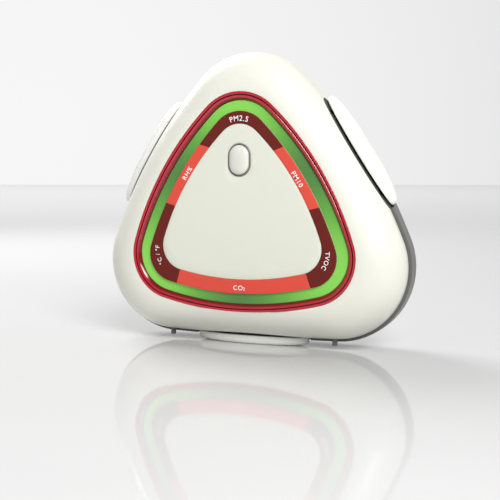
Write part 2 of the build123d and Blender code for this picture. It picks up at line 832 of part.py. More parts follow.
# ---------------------------------------------------------------- files
os.makedirs("parts", exist_ok=True)
pieces = [front_shell.part, rear_shell.part, trim_ring.part, light_ring.part, front_panel.part,
          button_bezel.part, mode_button.part, switch_plunger.part, button_switch.part, foot_pegs.part,
          inner_frame.part, led_board.part, ring_leds.part, main_board.part, buzzer.part,
          battery_cradle.part, particle_case.part, particle_lid.part, fan_axle.part, fan_rotor.part,
          shell_screws.part]
pieces += list(label_tiles.values()) + list(covers.values()) + list(grilles.values())
pieces += list(filters.values()) + components
for piece in pieces:
    export_step(piece, "parts/" + piece.label + ".step")
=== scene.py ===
"""A tabletop air quality monitor: casing, ringed dial with six measurement tiles, vents and base."""
import math
from collections import namedtuple
from functools import lru_cache

import bmesh
import bpy
from mathutils import Matrix, Vector


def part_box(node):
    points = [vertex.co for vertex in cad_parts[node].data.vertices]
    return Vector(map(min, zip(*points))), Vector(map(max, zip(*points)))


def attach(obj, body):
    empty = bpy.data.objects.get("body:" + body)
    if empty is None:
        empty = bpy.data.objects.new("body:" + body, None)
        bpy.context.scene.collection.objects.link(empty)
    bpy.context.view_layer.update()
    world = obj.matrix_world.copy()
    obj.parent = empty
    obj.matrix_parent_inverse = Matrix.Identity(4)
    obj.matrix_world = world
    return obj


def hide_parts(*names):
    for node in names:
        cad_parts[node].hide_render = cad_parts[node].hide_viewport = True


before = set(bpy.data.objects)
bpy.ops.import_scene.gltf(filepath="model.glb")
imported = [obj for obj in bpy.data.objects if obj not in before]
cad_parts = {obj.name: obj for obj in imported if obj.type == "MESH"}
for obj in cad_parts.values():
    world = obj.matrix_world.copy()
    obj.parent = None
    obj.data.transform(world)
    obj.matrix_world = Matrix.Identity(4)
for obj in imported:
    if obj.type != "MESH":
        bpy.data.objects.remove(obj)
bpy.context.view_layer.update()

bl_info = {
    "name": "Air Quality Monitor",
    "version": (1, 0, 0),
    "blender": (4, 5, 0),
    "location": "3D View > Sidebar > Monitor",
    "description": "Builds a rounded-triangle air quality monitor, piece by piece, round its CAD frame",
    "category": "Add Mesh",
}

MM = 0.001


# ------------------------------------------------------------------ outlines (millimetres)
# Every face of the monitor is a rounded triangle of six tangent arcs. Heights are from the dial's centre.
Outline = namedtuple("Outline", "spread low_z top_z top_r low_r side_r under_r")

DIAL = Outline(31.0, -15.7, 31.0, 21.4, 19.7, 129.5, 142.0)
LIGHT = Outline(30.5, -15.3, 31.6, 17.2, 16.6, 131.0, 136.0)
BAND = Outline(30.3, -15.6, 30.6, 13.8, 12.2, 134.0, 137.0)
PANEL = Outline(25.6, -12.0, 28.3, 10.9, 10.6, 109.9, 120.8)
BODY = Outline(38.0, -19.8, 39.2, 30.8, 30.3, 223.7, 1270.0)

# the trim ring's front and top give the dial's plane and centre in the frame
DIAL_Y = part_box("trim_ring")[0].y / MM
DIAL_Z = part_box("trim_ring")[1].z / MM - DIAL.top_z - DIAL.top_r
BACK_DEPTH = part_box("rear_shell")[1].y / MM - DIAL_Y
SEAM_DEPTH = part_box("rear_shell")[0].y / MM - DIAL_Y


def mix(first, second, share):
    """An outline part of the way from the first to the second."""
    return Outline(*(a + (b - a) * share for a, b in zip(first, second)))


@lru_cache(maxsize=None)
def arcs(o):
    """Right half of an outline from the bottom up: first and last normal angle, centre x and z, radius."""
    top_gap = o.side_r - o.top_r
    low_gap = o.side_r - o.low_r
    dx, dz = o.spread, o.low_z - o.top_z
    span = math.hypot(dx, dz)
    along = (top_gap ** 2 - low_gap ** 2 + span ** 2) / (2 * span)
    across = math.sqrt(top_gap ** 2 - along ** 2)
    mx = (dx * along + dz * across) / span
    mz = o.top_z + (dz * along - dx * across) / span
    under_z = o.low_z + math.sqrt((o.under_r - o.low_r) ** 2 - o.spread ** 2)
    heel = math.atan2(o.low_z - under_z, o.spread)
    hip = math.atan2(o.low_z - mz, o.spread - mx)
    shoulder = math.atan2(o.top_z - mz, -mx)
    return (
        (-math.pi / 2, heel, 0.0, under_z, o.under_r),
        (heel, hip, o.spread, o.low_z, o.low_r),
        (hip, shoulder, mx, mz, o.side_r),
        (shoulder, math.pi / 2, 0.0, o.top_z, o.top_r),
    )


def right_side(angle):
    """The same normal angle brought to the right half, and whether it was on the left."""
    left = math.cos(angle) < 0
    turned = math.pi - angle if left else angle
    return (turned + math.pi) % (2 * math.pi) - math.pi, left


def spot(o, angle, by=0.0):
    """Point (x, z) of the outline, grown by a distance, where its normal has this angle."""
    turned, left = right_side(angle)
    turned = min(max(turned, -math.pi / 2), math.pi / 2)
    for first, last, cx, cz, radius in arcs(o):
        if turned <= last + 1e-9:
            break
    x = cx + (radius + by) * math.cos(turned)
    z = cz + (radius + by) * math.sin(turned)
    return (-x if left else x), z


def columns(outlines, step):
    """Normal angles round an outline, so close that no arc of these outlines runs further than step."""
    half = [-math.pi / 2]
    while half[-1] < math.pi / 2:
        here = half[-1]
        widest = 0.0
        for o in outlines:
            for first, last, cx, cz, radius in arcs(o):
                if first <= here + 1e-6 < last:
                    widest = max(widest, radius)
        half.append(min(here + min(step / widest, math.radians(4)), math.pi / 2))
    if half[-1] - half[-2] < 1e-4:
        half.pop(-2)
    return half + [math.pi - a for a in reversed(half[1:-1])]


def ring(o, depth, by, angles):
    """One section of the casing or dial: points round an outline at a depth behind the dial's face."""
    points = []
    for angle in angles:
        x, z = spot(o, angle, by)
        points.append(Vector((x, DIAL_Y + depth, DIAL_Z + z)))
    return points


# ------------------------------------------------------------------ meshes
def skin(bm, rings, closed=False, cap_first=False, cap_last=False):
    """Faces between successive rings of points, in millimetres, each ring closed on itself."""
    rows = [[bm.verts.new(p * MM) for p in points] for points in rings]
    pairs = list(zip(rows, rows[1:])) + ([(rows[-1], rows[0])] if closed else [])
    for low, high in pairs:
        count = len(low)
        for i in range(count):
            j = (i + 1) % count
            bm.faces.new((low[i], low[j], high[j], high[i]))
    if cap_first:
        bm.faces.new(rows[0])
    if cap_last:
        bm.faces.new(rows[-1])
    return rows


def finished(bm, name, crease=32.0):
    """A smooth-shaded object from a bmesh: doubles merged, faces outwards, edges past crease kept sharp."""
    bmesh.ops.remove_doubles(bm, verts=bm.verts, dist=1e-6)
    bmesh.ops.recalc_face_normals(bm, faces=bm.faces)
    mesh = bpy.data.meshes.new(name)
    bm.to_mesh(mesh)
    bm.free()
    mesh.shade_smooth()
    mesh.set_sharp_from_angle(angle=math.radians(crease))
    piece = bpy.data.objects.new(name, mesh)
    bpy.context.scene.collection.objects.link(piece)
    return piece


def baked(piece, crease=32.0):
    """Turns an object and its modifiers into one plain mesh at the origin."""
    evaluated = piece.evaluated_get(bpy.context.evaluated_depsgraph_get())
    mesh = bpy.data.meshes.new_from_object(evaluated)
    mesh.transform(piece.matrix_world)
    piece.modifiers.clear()
    piece.matrix_world = Matrix.Identity(4)
    mesh.shade_smooth()
    mesh.set_sharp_from_angle(angle=math.radians(crease))
    piece.data = mesh
    return piece


def cut(piece, cutters):
    """Cuts a piece with other objects, which are then thrown away."""
    for cutter in cutters:
        modifier = piece.modifiers.new("cut", "BOOLEAN")
        modifier.operation = "DIFFERENCE"
        modifier.solver = "EXACT"
        modifier.object = cutter
    bpy.context.view_layer.update()
    baked(piece)
    for cutter in cutters:
        bpy.data.objects.remove(cutter)
    return piece


def softened(piece, width, segments=2, angle=40.0):
    """Rounds a piece's sharp edges, as a mould does."""
    modifier = piece.modifiers.new("edge", "BEVEL")
    modifier.width = width * MM
    modifier.segments = segments
    modifier.limit_method = "ANGLE"
    modifier.angle_limit = math.radians(angle)
    bpy.context.view_layer.update()
    return baked(piece)


def prism(name, points, near, far):
    """A straight cutter between two depths, from (x, z) points."""
    bm = bmesh.new()
    rings = [[Vector((x, DIAL_Y + depth, DIAL_Z + z)) for x, z in points] for depth in (near, far)]
    skin(bm, rings, cap_first=True, cap_last=True)
    return finished(bm, name)


def pill(width, height, x=0.0, z=0.0, count=20, upright=True):
    """Points (x, z) round a slot with round ends."""
    radius = min(width, height) / 2
    reach = abs(height - width) / 2
    points = []
    for end in (0, 1):
        for i in range(count + 1):
            angle = math.pi * (i / count + end)
            across = radius * math.cos(angle)
            along = radius * math.sin(angle) + (reach if end == 0 else -reach)
            points.append((x + across, z + along) if upright else (x - along, z + across))
    return points


def vent_frame(vent):
    """Matrix of a vent: X along the oval, Z out of the casing, origin on the casing's surface."""
    sizes = bpy.context.scene.monitor_sizes
    depth = SEAM_DEPTH + sizes.cover_setback
    if vent == "base":
        x, z = spot(BODY, -math.pi / 2)
        along, out = Vector((1, 0, 0)), Vector((0, 0, -1))
    else:
        side = 1 if vent == "right" else -1
        first, last, cx, cz, radius = arcs(BODY)[2]
        normal = math.atan2((BODY.low_z + BODY.top_z) / 2 - cz, BODY.spread / 2 - cx)
        x, z = side * (cx + radius * math.cos(normal)), cz + radius * math.sin(normal)
        out = Vector((side * math.cos(normal), 0, math.sin(normal)))
        along = Vector((side * math.sin(normal), 0, -math.cos(normal)))
    across = out.cross(along)
    place = Matrix((along, across, out)).transposed().to_4x4()
    place.translation = Vector((x, DIAL_Y + depth, DIAL_Z + z))
    return place


def oval(place, half_length, half_width, height, count=96):
    """Points round an oval parallel to a vent."""
    points = []
    for i in range(count):
        angle = 2 * math.pi * i / count
        points.append(place @ Vector((half_length * math.cos(angle), half_width * math.sin(angle), height)))
    return points


def vent_cutters(rim):
    """Oval cutters for the three vents, a rim larger than the covers."""
    sizes = bpy.context.scene.monitor_sizes
    cutters = []
    for vent in ("left", "right", "base"):
        bm = bmesh.new()
        place = vent_frame(vent)
        size = sizes.cover_length / 2 + rim, sizes.cover_width / 2 + rim
        skin(bm, [oval(place, *size, -VENT_REACH), oval(place, *size, VENT_REACH)],
             cap_first=True, cap_last=True)
        cutters.append(finished(bm, "vent_cutter"))
    return cutters


def place_piece(piece, material, body, slot, *nodes):
    """Gives a finished piece its material and its CAD body, and hides the CAD nodes that it stands for; slot
    is not used.
    """
    piece.data.materials.clear()
    piece.data.materials.append(material)
    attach(piece, body)
    if nodes:
        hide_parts(*nodes)
    return piece


# ------------------------------------------------------------------ materials
# a colour mix node's sockets, which share their names with those of its other data types
MIX_A, MIX_B, MIX_RESULT = 6, 7, 2


def linear(code):
    """Linear colour from an sRGB hex value."""
    channels = [int(code[i:i + 2], 16) / 255 for i in (0, 2, 4)]
    return tuple(c / 12.92 if c <= 0.04045 else ((c + 0.055) / 1.055) ** 2.4 for c in channels)


def add(tree, kind, inputs=(), **settings):
    """Adds a node: inputs maps socket names or numbers to values or to other nodes' outputs."""
    node = tree.nodes.new(kind)
    for name, value in settings.items():
        setattr(node, name, value)
    for socket, value in dict(inputs).items():
        if isinstance(value, bpy.types.NodeSocket):
            tree.links.new(value, node.inputs[socket])
        else:
            node.inputs[socket].default_value = value
    return node


def new_material(name, roughness, ior=1.46, coat=0.0, metallic=0.0):
    """A material with a Principled shader, and the tree and shader to build on."""
    material = bpy.data.materials.new(name)
    material.use_nodes = True
    tree = material.node_tree
    shader = tree.nodes["Principled BSDF"]
    shader.inputs["Roughness"].default_value = roughness
    shader.inputs["IOR"].default_value = ior
    shader.inputs["Metallic"].default_value = metallic
    shader.inputs["Coat Weight"].default_value = coat
    shader.inputs["Coat Roughness"].default_value = 0.06
    return material, tree, shader


def shade(colour, factor):
    """A colour made darker or lighter, with alpha."""
    return tuple(min(c * factor, 1.0) for c in colour) + (1.0,)


def moulded_plastic(name, colour, roughness, grain_mm=0.35, grain=0.04, drift=0.04, coat=0.0, ior=1.53,
                    specular=0.5, painted_light_ramp=None):
    """Injection-moulded plastic: a faint colour drift from flow in the mould, and the mould's fine grain.

    The painted-light ramp gives two places along Y, in millimetres, and how many times as bright the colour
    is at the
    further one: painted shade darkens a ring's colour down its slope, and painted light makes a floor paler
    towards its far end."""
    material, tree, shader = new_material(name, roughness, ior, coat)
    place = add(tree, "ShaderNodeTexCoord").outputs["Object"]
    flow = add(tree, "ShaderNodeTexNoise", {"Vector": place, "Scale": 1 / (28 * MM), "Detail": 2.0})
    tone = add(tree, "ShaderNodeMix", {"Factor": flow.outputs["Fac"], MIX_A: shade(colour, 1 - drift),
                                       MIX_B: shade(colour, 1 + drift)}, data_type="RGBA")
    base = tone.outputs[MIX_RESULT]
    # painted light: the colour ramps along Y, giving painted shade down the trim ring's slope and painted
    # light towards the floor's far end
    if painted_light_ramp:
        start, end, level = painted_light_ramp
        height = add(tree, "ShaderNodeSeparateXYZ", {"Vector": place})
        painted_ramp_share = add(tree, "ShaderNodeMapRange", {"Value": height.outputs["Y"], "From Min": start * MM,
                                                "From Max": end * MM})
        painted_ramp_colour = add(tree, "ShaderNodeMix", {"Factor": painted_ramp_share.outputs[0], MIX_A: base,
                                             MIX_B: shade(colour, level)}, data_type="RGBA")
        base = painted_ramp_colour.outputs[MIX_RESULT]
    tree.links.new(base, shader.inputs["Base Color"])
    shader.inputs["Specular IOR Level"].default_value = specular
    pits = add(tree, "ShaderNodeTexNoise", {"Vector": place, "Scale": 1 / (grain_mm * MM), "Detail": 3.0})
    gloss = add(tree, "ShaderNodeMapRange", {"Value": pits.outputs["Fac"], "To Min": roughness * 0.85,
                                             "To Max": roughness * 1.15})
    tree.links.new(gloss.outputs[0], shader.inputs["Roughness"])
    bump = add(tree, "ShaderNodeBump", {"Height": pits.outputs["Fac"], "Strength": grain,
                                        "Distance": 0.02 * MM})
    tree.links.new(bump.outputs["Normal"], shader.inputs["Normal"])
    return material


def glowing_acrylic(name, dark, middle, bright, strength):
    """Dyed, frosted acrylic lit from behind; its colour and glow are painted brightest at the corners as
    painted highlight and dimmest along the sides as painted shade.
    """
    material, tree, shader = new_material(name, 0.32, 1.49)
    # painted highlight and shade: this share is 1 at the ring's three corners and 0 along its sides
    lamp = add(tree, "ShaderNodeAttribute", attribute_name="painted_corner_light", attribute_type="GEOMETRY")
    ramp = add(tree, "ShaderNodeValToRGB", {"Fac": lamp.outputs["Fac"]})
    ramp.color_ramp.elements[0].color = (*dark, 1)
    ramp.color_ramp.elements[1].color = (*bright, 1)
    ramp.color_ramp.elements.new(0.55).color = (*middle, 1)
    place = add(tree, "ShaderNodeTexCoord").outputs["Object"]
    frost = add(tree, "ShaderNodeTexNoise", {"Vector": place, "Scale": 1 / (0.4 * MM), "Detail": 2.0})
    haze = add(tree, "ShaderNodeMapRange", {"Value": frost.outputs["Fac"], "To Min": 0.26, "To Max": 0.38})
    bump = add(tree, "ShaderNodeBump", {"Height": frost.outputs["Fac"], "Strength": 0.05,
                                        "Distance": 0.02 * MM})
    tree.links.new(haze.outputs[0], shader.inputs["Roughness"])
    tree.links.new(bump.outputs["Normal"], shader.inputs["Normal"])
    tree.links.new(ramp.outputs["Color"], shader.inputs["Base Color"])
    tree.links.new(ramp.outputs["Color"], shader.inputs["Emission Color"])
    shader.inputs["Emission Strength"].default_value = strength
    return material


def turned_metal(name, colour, roughness):
    """Bare or plated metal: fine turning marks that break up the highlight."""
    material, tree, shader = new_material(name, roughness, metallic=1.0)
    shader.inputs["IOR"].default_value = 1.5
    place = add(tree, "ShaderNodeTexCoord").outputs["Object"]
    marks = add(tree, "ShaderNodeTexNoise", {"Vector": place, "Scale": 1 / (0.5 * MM), "Detail": 4.0})
    tone = add(tree, "ShaderNodeMapRange", {"Value": marks.outputs["Fac"], "To Min": roughness * 0.7,
                                            "To Max": roughness * 1.3})
    mixed = add(tree, "ShaderNodeMix", {"Factor": marks.outputs["Fac"], MIX_A: shade(colour, 0.9),
                                        MIX_B: shade(colour, 1.08)}, data_type="RGBA")
    tree.links.new(mixed.outputs[MIX_RESULT], shader.inputs["Base Color"])
    tree.links.new(tone.outputs[0], shader.inputs["Roughness"])
    return material


def solder_mask(name, colour):
    """Fibreglass circuit board under lacquer: the weave and copper tracks just show through."""
    material, tree, shader = new_material(name, 0.3, 1.5, coat=0.3)
    place = add(tree, "ShaderNodeTexCoord").outputs["Object"]
    tracks = add(tree, "ShaderNodeTexBrick", {"Vector": place, "Scale": 1 / (6 * MM), "Mortar Size": 0.03})
    tracks.inputs["Color1"].default_value = shade(colour, 1.0)
    tracks.inputs["Color2"].default_value = shade(colour, 1.15)
    tracks.inputs["Mortar"].default_value = shade(colour, 1.9)
    tree.links.new(tracks.outputs["Color"], shader.inputs["Base Color"])
    bump = add(tree, "ShaderNodeBump", {"Height": tracks.outputs["Fac"], "Strength": 0.2,
                                        "Distance": 0.03 * MM}, invert=True)
    tree.links.new(bump.outputs["Normal"], shader.inputs["Normal"])
    return material


def open_foam(name, colour):
    """Reticulated filter foam, open cells about a millimetre across, its colour painted dark in each cell's
    middle as painted shade in the pores.
    """
    material, tree, shader = new_material(name, 0.95, 1.4)
    place = add(tree, "ShaderNodeTexCoord").outputs["Object"]
    cells = add(tree, "ShaderNodeTexVoronoi", {"Vector": place, "Scale": 1 / (1.1 * MM)})
    mixed = add(tree, "ShaderNodeMix", {"Factor": cells.outputs["Distance"], MIX_A: shade(colour, 0.4),
                                        MIX_B: shade(colour, 1.4)}, data_type="RGBA")
    tree.links.new(mixed.outputs[MIX_RESULT], shader.inputs["Base Color"])
    bump = add(tree, "ShaderNodeBump", {"Height": cells.outputs["Distance"], "Strength": 0.7,
                                        "Distance": 0.5 * MM})
    tree.links.new(bump.outputs["Normal"], shader.inputs["Normal"])
    return material


@lru_cache(maxsize=None)
def finish(name):
    """The monitor's finishes by name, each made once."""
    colours = bpy.context.scene.monitor_colours
    # ABS casings have a soft sheen and cap and covers a gloss; the polished ring has sharp highlights and
    # painted shade darkening its colour down its slope, and printed film and ink have next to no shine
    makers = {
        "shell": lambda: moulded_plastic("white_abs_satin", tuple(colours.shell), 0.36, coat=0.25),
        "rear": lambda: moulded_plastic("grey_abs_satin", tuple(colours.rear), 0.34, grain=0.06),
        "trim": lambda: moulded_plastic("red_polycarbonate_polished", tuple(colours.trim), 0.16,
                                        grain=0.015, coat=0.3, ior=1.58,
                                        # painted shade: the ring's colour darkens down its slope
                                        painted_light_ramp=(DIAL_Y + 0.15, DIAL_Y + 0.45, 0.34)),
        "light": lambda: glowing_acrylic("green_acrylic_frosted", tuple(colours.light_painted_shade),
                                         tuple(colours.light_painted_middle), tuple(colours.light_painted_highlight), 0.35),
        "panel": lambda: moulded_plastic("cream_abs_fine", tuple(colours.panel), 0.42, drift=0.02),
        "dark_tile": lambda: moulded_plastic("maroon_printed_film", tuple(colours.dark_tile), 0.5, ior=1.5,
                                             specular=0.15),
        "bright_tile": lambda: moulded_plastic("red_printed_film", tuple(colours.bright_tile), 0.5, ior=1.5,
                                              specular=0.2),
        "ink": lambda: moulded_plastic("white_print", linear("FFFFFF"), 0.5, grain=0.02),
        "bezel": lambda: moulded_plastic("grey_abs_bezel", linear("77786F"), 0.35),
        "cap": lambda: moulded_plastic("white_abs_gloss", linear("DEDED6"), 0.24, grain=0.02, coat=0.3),
        "cover": lambda: moulded_plastic("white_abs_gloss_cover", linear("F2F2EC"), 0.27, grain=0.02,
                                         coat=0.3),
        "grille": lambda: moulded_plastic("dark_grey_abs_matt", linear("4A4B49"), 0.7),
        "peg": lambda: moulded_plastic("grey_nylon", linear("6C6D68"), 0.5),
        "black": lambda: moulded_plastic("black_nylon", linear("202122"), 0.6),
        "case": lambda: moulded_plastic("grey_nylon_case", linear("6A6D70"), 0.5),
        "lens": lambda: moulded_plastic("clear_epoxy_lamp", linear("EDEFC8"), 0.15),
        "ribbon": lambda: moulded_plastic("amber_polyimide", linear("C87A22"), 0.3),
        "battery": lambda: moulded_plastic("blue_shrink_wrap", linear("2A4A86"), 0.3),
        "steel": lambda: turned_metal("zinc_plated_steel", linear("B9BBBC"), 0.3),
        "can": lambda: turned_metal("tinned_steel_can", linear("C4C5C2"), 0.25),
        "gold": lambda: turned_metal("plated_brass", linear("CFA85A"), 0.3),
        "board": lambda: solder_mask("green_solder_mask", linear("1F5B34")),
        "foam": lambda: open_foam("charcoal_filter_foam", linear("2A2A2A")),
    }
    return makers[name]()


# ------------------------------------------------------------------ sizes and colours
class MonitorSizes(bpy.types.PropertyGroup):
    """Sizes of the visible pieces, in millimetres, that don't come from the CAD frame."""
    cover_length: bpy.props.FloatProperty(name="Cover Length", description="Long axis of a vent cover",
                                          default=51.8, min=20.0)
    cover_width: bpy.props.FloatProperty(name="Cover Width", description="Short axis of a vent cover",
                                         default=12.4, min=5.0)
    cover_height: bpy.props.FloatProperty(name="Cover Height", description="Height of a side cover's dome",
                                          default=5.1, min=1.0)
    cover_rim: bpy.props.FloatProperty(name="Cover Rim", description="Upright edge of a vent cover",
                                       default=1.6, min=0.2)
    cover_setback: bpy.props.FloatProperty(name="Cover Setback", description="Covers' centre behind the seam",
                                           default=0.85)
    vent_gap: bpy.props.FloatProperty(name="Vent Gap", description="Air slot round each cover",
                                      default=1.05, min=0.2)
    wall: bpy.props.FloatProperty(name="Wall", description="Casing wall", default=2.0, min=0.8)
    bulge: bpy.props.FloatProperty(name="Rear Bulge", description="How proud the rear shell stands",
                                   default=1.3, min=0.0)
    hood_z: bpy.props.FloatProperty(name="Hood Height", description="Lower edge of the hood over the rear",
                                    default=30.0)
    cap_width: bpy.props.FloatProperty(name="Button Width", description="Mode button across", default=8.7)
    cap_height: bpy.props.FloatProperty(name="Button Height", description="Mode button upright", default=12.3)
    cap_z: bpy.props.FloatProperty(name="Button Place", description="Button above the dial's centre",
                                   default=24.2)
    cap_proud: bpy.props.FloatProperty(name="Button Proud", description="Button in front of the dial's face",
                                       default=1.2)


def swatch(name, description, code):
    """A colour property with an sRGB default."""
    return bpy.props.FloatVectorProperty(name=name, description=description, subtype="COLOR",
                                         size=3, min=0.0, max=1.0, default=linear(code))


class MonitorColours(bpy.types.PropertyGroup):
    """Colours of the visible pieces."""
    shell: swatch("Front Shell", "Warm white casing", "E6E6DB")
    rear: swatch("Rear Shell", "Mid-grey casing back", "5C5D5A")
    trim: swatch("Trim Ring", "Polished red ring", "B8202F")
    # painted shade and highlight: the light ring's colours run from dim along its sides to bright at its
    # corners
    light_painted_shade: swatch("Light, Dim", "Light ring between lamps", "47743A")
    light_painted_middle: swatch("Light, Mid", "Light ring near lamps", "5B9A3C")
    light_painted_highlight: swatch("Light, Bright", "Light ring at the corners", "77BC4C")
    panel: swatch("Panel", "Cream centre panel", "DFE1D2")
    dark_tile: swatch("Corner Tiles", "Maroon tiles", "69241E")
    bright_tile: swatch("Side Tiles", "Bright red tiles", "DC5143")


# ------------------------------------------------------------------ casing
CROWN_STEPS = 18
HOOD_GAP = 0.3           # hood to rear shell
BEYOND = 100.0           # past the casing on every side, for cutters
BEHIND = 60.0
EDGE_ROUND = 0.35        # front shell's moulded edges
VENT_REACH = 7.0         # half depth of an oval vent cutter
SLOT_LENGTH, SLOT_WIDTH, SLOT_PITCH, SLOT_COUNT, SLOTS_Z = 34.0, 1.8, 4.0, 6, 10.0
INLET_LENGTH, INLET_WIDTH, INLET_Z = 9.6, 3.8, -35.0
BACK_CUT = 4.0           # half depth of the cuts through the back
WELL_RADIUS, WELL_DEPTH = 2.8, 26.0
SCREW_HEAD = 2.5         # radius


def crown_rings(angles, inset=0.0, first=0):
    """Sections of the crown: a quarter ellipse from the dial's edge to the seam."""
    rings = []
    for i in range(first, CROWN_STEPS + 1):
        turn = math.pi / 2 * i / CROWN_STEPS
        depth = inset + (SEAM_DEPTH - inset) * (1 - math.cos(turn))
        rings.append(ring(mix(DIAL, BODY, math.sin(turn)), depth, -inset, angles))
    return rings


def back_rings(angles, proud, inset=0.0, steps=28):
    """Sections behind the seam: nearly straight, then rounded into the flat back."""
    rings = []
    straight = 0.42
    draw = 8.6
    for i in range(1, steps + 1):
        share = i / steps
        if share <= straight:
            along, drawn = share, 0.0
        else:
            turn = (share - straight) / (1 - straight) * math.pi / 2
            along = straight + (1 - straight) * math.sin(turn)
            drawn = draw * (1 - math.cos(turn))
        depth = SEAM_DEPTH + (BACK_DEPTH - inset - SEAM_DEPTH) * along
        rings.append(ring(BODY, depth, proud - drawn - inset, angles))
    return rings


class MONITOR_OT_front_shell(bpy.types.Operator):
    """Moulds the white front shell with its hood over the top of the back"""
    bl_idname = "monitor.front_shell"
    bl_label = "Front Shell"

    def execute(self, context):
        sizes = context.scene.monitor_sizes
        angles = columns((DIAL, BODY), 1.5)
        outer = crown_rings(angles) + back_rings(angles, 0.0)
        inner = crown_rings(angles, sizes.wall) + back_rings(angles, 0.0, sizes.wall)
        lip = [ring(DIAL, 0.12, 0.03, angles), ring(DIAL, sizes.wall, 0.03, angles)]
        bm = bmesh.new()
        rings = outer[::-1] + lip + inner[1:]
        skin(bm, rings, cap_first=True, cap_last=True)
        shell = finished(bm, "front_shell_moulding")
        edge = sizes.hood_z + HOOD_GAP
        below = [(-BEYOND, edge), (BEYOND, edge), (BEYOND, -BEYOND), (-BEYOND, -BEYOND)]
        cut(shell, [prism("below_hood", below, SEAM_DEPTH, BEHIND), *vent_cutters(sizes.vent_gap)])
        softened(shell, EDGE_ROUND, segments=3, angle=50.0)
        place_piece(shell, finish("shell"), "casing", "white_shell", "front_shell")
        return {"FINISHED"}


class MONITOR_OT_rear_shell(bpy.types.Operator):
    """Moulds the grey rear shell with its exhaust slots, power inlet and screw holes"""
    bl_idname = "monitor.rear_shell"
    bl_label = "Rear Shell"

    def execute(self, context):
        sizes = context.scene.monitor_sizes
        angles = columns((BODY,), 1.5)
        edge = [ring(BODY, SEAM_DEPTH, sizes.bulge - 0.45, angles),
                ring(BODY, SEAM_DEPTH + 0.13, sizes.bulge - 0.13, angles),
                ring(BODY, SEAM_DEPTH + 0.45, sizes.bulge, angles)]
        outer = edge + back_rings(angles, sizes.bulge)[1:]
        inner = [ring(BODY, SEAM_DEPTH, sizes.bulge - sizes.wall, angles)]
        inner += back_rings(angles, sizes.bulge, sizes.wall)
        bm = bmesh.new()
        skin(bm, outer[::-1] + inner, cap_first=True, cap_last=True)
        shell = finished(bm, "rear_shell_moulding")
        above = [(-BEYOND, sizes.hood_z), (BEYOND, sizes.hood_z), (BEYOND, BEYOND), (-BEYOND, BEYOND)]
        cutters = [prism("above_hood", above, SEAM_DEPTH - 2.0, BEHIND), *vent_cutters(sizes.vent_gap)]
        for i in range(SLOT_COUNT):
            z = SLOTS_Z + (i - (SLOT_COUNT - 1) / 2) * SLOT_PITCH
            slot = pill(SLOT_LENGTH, SLOT_WIDTH, 0.0, z, upright=False)
            cutters.append(prism("exhaust_slot", slot, BACK_DEPTH - BACK_CUT, BACK_DEPTH + BACK_CUT))
        inlet = pill(INLET_LENGTH, INLET_WIDTH, 0.0, INLET_Z, upright=False)
        cutters.append(prism("power_inlet", inlet, BACK_DEPTH - BACK_CUT, BACK_DEPTH + BACK_CUT))
        for x, z in screw_places():
            turns = [a * math.pi / 18 for a in range(36)]
            hole = [(x + WELL_RADIUS * math.cos(a), z + WELL_RADIUS * math.sin(a)) for a in turns]
            cutters.append(prism("screw_well", hole, WELL_DEPTH, BEHIND))
        cut(shell, cutters)
        place_piece(shell, finish("rear"), "casing", "grey_shell", "rear_shell")
        return {"FINISHED"}


def screw_places():
    """Centres (x, z) of the four casing screws, read from the frame."""
    low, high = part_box("shell_screws")
    x = high.x / MM - SCREW_HEAD
    z_low = low.z / MM + SCREW_HEAD - DIAL_Z
    z_high = high.z / MM - SCREW_HEAD - DIAL_Z
    corners = [v.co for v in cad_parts["shell_screws"].data.vertices if v.co.z / MM - DIAL_Z > 0]
    x_high = max(c.x for c in corners) / MM - SCREW_HEAD
    return [(x, z_low), (-x, z_low), (x_high, z_high), (-x_high, z_high)]


# ------------------------------------------------------------------ dial
def dial_loop(name, profile, step=1.2):
    """A closed ring on the dial: profile is (outline, grown by, depth) round its section."""
    angles = columns((DIAL, PANEL), step)
    bm = bmesh.new()
    skin(bm, [ring(o, depth, by, angles) for o, by, depth in profile], closed=True)
    return finished(bm, name, crease=24.0)


class MONITOR_OT_trim_ring(bpy.types.Operator):
    """Moulds the polished red ring: a rounded lip, a fine groove and a slope down to the light ring"""
    bl_idname = "monitor.trim_ring"
    bl_label = "Trim Ring"

    def execute(self, context):
        profile = [
            (DIAL, 0.0, 3.0), (DIAL, 0.0, 0.35), (DIAL, -0.06, 0.14), (DIAL, -0.2, 0.03), (DIAL, -0.4, 0.0),
            (DIAL, -0.85, 0.0), (DIAL, -1.05, 0.1), (DIAL, -1.16, 0.32), (DIAL, -1.2, 0.95),
            (DIAL, -1.28, 1.04), (DIAL, -1.44, 1.04), (DIAL, -1.52, 0.9), (DIAL, -1.55, 0.32),
            (DIAL, -1.62, 0.14), (DIAL, -1.76, 0.06), (DIAL, -1.92, 0.1),
            (LIGHT, 1.05, 0.3), (LIGHT, 0.6, 0.75), (LIGHT, 0.22, 1.2), (LIGHT, 0.04, 1.5), (LIGHT, 0.0, 1.7),
            (LIGHT, 0.0, 3.0),
        ]
        trim = dial_loop("trim_ring_moulding", profile)
        place_piece(trim, finish("trim"), "casing", "red_trim", "trim_ring")
        return {"FINISHED"}


